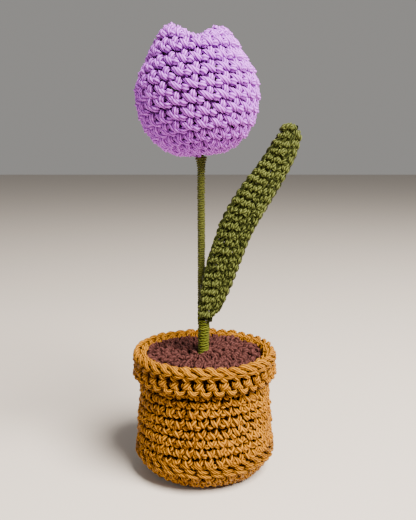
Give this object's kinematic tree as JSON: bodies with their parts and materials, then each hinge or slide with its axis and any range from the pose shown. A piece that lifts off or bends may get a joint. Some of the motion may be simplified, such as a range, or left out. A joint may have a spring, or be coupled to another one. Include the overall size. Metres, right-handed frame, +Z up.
{
  "type": "crocheted potted tulip",
  "caption": "Crocheted tulip: a stuffed lilac bud on a wrapped wire stem with one long green leaf, standing in a crocheted golden pot with brown crocheted soil.",
  "frame": {"origin": "centre of the pot's flat base, on the surface it stands on", "axes": "+Z up the pot and the stem, -Y towards the viewer of the picture, +X to the side the leaf reaches to"},
  "size_m": [0.0678, 0.06, 0.1806],
  "materials": {
    "pot_yarn": "golden yellow cotton yarn, single crochet",
    "soil_yarn": "plum brown cotton yarn, single crochet",
    "stem_yarn": "olive green yarn wound close together",
    "binding_yarn": "brighter olive green yarn wound close together",
    "leaf_yarn": "olive green cotton yarn, single crochet",
    "flower_yarn": "lilac cotton yarn, single crochet",
    "stuffing": "polyester fibre stuffing",
    "wire": "bare steel wire"
  },
  "bodies": {
    "root": {"pot": "pot_yarn", "pot_filling": "stuffing", "soil": "soil_yarn", "stem_wire": "wire", "stem_wrap": "stem_yarn", "leaf_wire": "wire", "binding": "binding_yarn", "leaf": "leaf_yarn", "flower": "flower_yarn", "flower_stuffing": "stuffing"}
  },
  "joints": []
}
